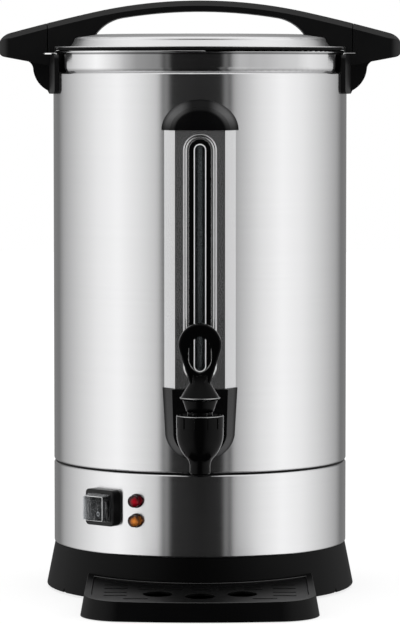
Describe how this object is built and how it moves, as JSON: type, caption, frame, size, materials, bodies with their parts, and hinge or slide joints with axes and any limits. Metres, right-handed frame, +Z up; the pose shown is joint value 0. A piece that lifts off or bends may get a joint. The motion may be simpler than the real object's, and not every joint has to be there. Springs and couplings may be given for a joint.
{
  "type": "coffee urn",
  "caption": "Double-walled steel coffee urn with lift-off lid under an arched handle, level gauge, self-closing lever tap, rocker switch, indicator lamps, drip tray and percolator inside.",
  "frame": {"origin": "on the table, on the axis of the round body", "axes": "+Z up; the tap and the gauge face -Y; the lid's handle runs along X"},
  "size_m": [0.302, 0.3115, 0.4405],
  "materials": {
    "casing_steel": "fine circumferential brushing",
    "tank_steel": "polished stainless steel",
    "panel_steel": "brushed lengthwise",
    "zinc_steel": "zinc plated",
    "spreader": "plain",
    "element": "heat-tinted sheath",
    "brass": "plain",
    "base_plastic": "fine grain",
    "handle_plastic": "satin",
    "tap_plastic": "satin gloss",
    "tray_plastic": "satin",
    "control_plastic": "moulded",
    "white_plastic": "moulded",
    "silicone": "matt",
    "black_rubber": "matt",
    "wire_sleeve": "matt sleeve",
    "window_clear": "clear, smooth",
    "glass_tube": "clear, smooth",
    "cap_clear": "clear soft cover",
    "lens_red": "faceted translucent",
    "lens_amber": "faceted translucent"
  },
  "bodies": {
    "urn": {"base_skirt": "base_plastic", "bottom_plate": "zinc_steel", "rubber_feet": "black_rubber", "base_screws": "zinc_steel", "tie_rods": "zinc_steel", "tie_nuts": "zinc_steel", "lower_housing": "casing_steel", "seam_ring": "base_plastic", "outer_shell": "casing_steel", "inner_tank": "tank_steel", "heat_plate": "spreader", "heating_element": "element", "control_thermostat": "control_plastic", "thermostat_strap": "zinc_steel", "boil_dry_cutout": "control_plastic", "thermal_fuse": "brass", "terminal_block": "white_plastic", "wiring": "wire_sleeve", "cord_gland": "base_plastic", "switch_frame": "handle_plastic", "switch_cap": "cap_clear", "lamp_red": "lens_red", "lamp_amber": "lens_amber", "lamp_clips": "zinc_steel", "side_handle_left": "handle_plastic", "side_handle_right": "handle_plastic", "side_handle_screws": "zinc_steel", "gauge_panel": "panel_steel", "gauge_inset": "handle_plastic", "gauge_window": "window_clear", "sight_glass": "glass_tube", "sight_seals": "silicone", "gauge_base": "handle_plastic", "gauge_hood": "handle_plastic", "tap_escutcheon": "handle_plastic", "tap_body": "tap_plastic", "tap_bonnet": "tap_plastic", "lever_socket": "tap_plastic", "tap_pin": "zinc_steel", "tap_spring": "zinc_steel", "tap_washers": "silicone", "tap_nut": "tap_plastic"},
    "lid_seal": {"lid_gasket": "black_rubber"},
    "lid": {"lid_plate": "tank_steel", "lid_handle": "handle_plastic", "lid_handle_screws": "zinc_steel"},
    "pump": {"pump_tube": "spreader", "pump_base": "spreader"},
    "basket": {"coffee_basket": "spreader"},
    "basket_top": {"basket_cover": "spreader"},
    "lever": {"tap_lever": "tap_plastic"},
    "stem": {"tap_stem": "white_plastic", "seat_cup": "silicone"},
    "rocker": {"switch_rocker": "handle_plastic"},
    "tray": {"drip_tray": "tray_plastic"},
    "grid": {"drip_grid": "tray_plastic"}
  },
  "joints": [
    {"name": "lid_lift", "type": "slide", "parent": "urn", "child": "lid_seal", "axis": [0, 0, 1], "range_m": [0, 0.6]},
    {"name": "lid_turn", "type": "hinge", "parent": "lid_seal", "child": "lid", "pos_m": [0, 0, 0.41], "axis": [0, 0, 1], "range_deg": [0, 45]},
    {"name": "pump_lift", "type": "slide", "parent": "urn", "child": "pump", "axis": [0, 0, 1], "range_m": [0, 0.33]},
    {"name": "basket_lift", "type": "slide", "parent": "pump", "child": "basket", "axis": [0, 0, 1], "range_m": [0, 0.12]},
    {"name": "cover_lift", "type": "slide", "parent": "basket", "child": "basket_top", "axis": [0, 0, 1], "range_m": [0, 0.102]},
    {"name": "lever_turn", "type": "hinge", "parent": "urn", "child": "lever", "pos_m": [0, -0.15, 0.1505], "axis": [1, 0, 0], "range_deg": [0, 35]},
    {"name": "stem_lift", "type": "slide", "parent": "urn", "child": "stem", "axis": [0, 0, 1], "range_m": [0, 0.0042], "stiffness_N_per_m": 40, "springref_m": -0.003, "deforming": ["tap_spring"]},
    {"name": "rocker_tilt", "type": "hinge", "parent": "urn", "child": "rocker", "pos_m": [-0.07063, -0.08614, 0.0692], "axis": [-0.7733, 0.6341, 0], "range_deg": [0, 20]},
    {"name": "tray_slide", "type": "slide", "parent": "urn", "child": "tray", "axis": [0, -1, 0], "range_m": [0, 0.08]},
    {"name": "grid_lift", "type": "slide", "parent": "tray", "child": "grid", "axis": [0, 0, 1], "range_m": [0, 0.03]}
  ],
  "couplings": [
    {"joint": "pump_lift", "follows": "lid_lift", "ratio": 0.55},
    {"joint": "basket_lift", "follows": "lid_lift", "ratio": 0.2},
    {"joint": "cover_lift", "follows": "lid_lift", "ratio": 0.17},
    {"joint": "lever_turn", "follows": "stem_lift", "rad_per_m": 145}
  ]
}
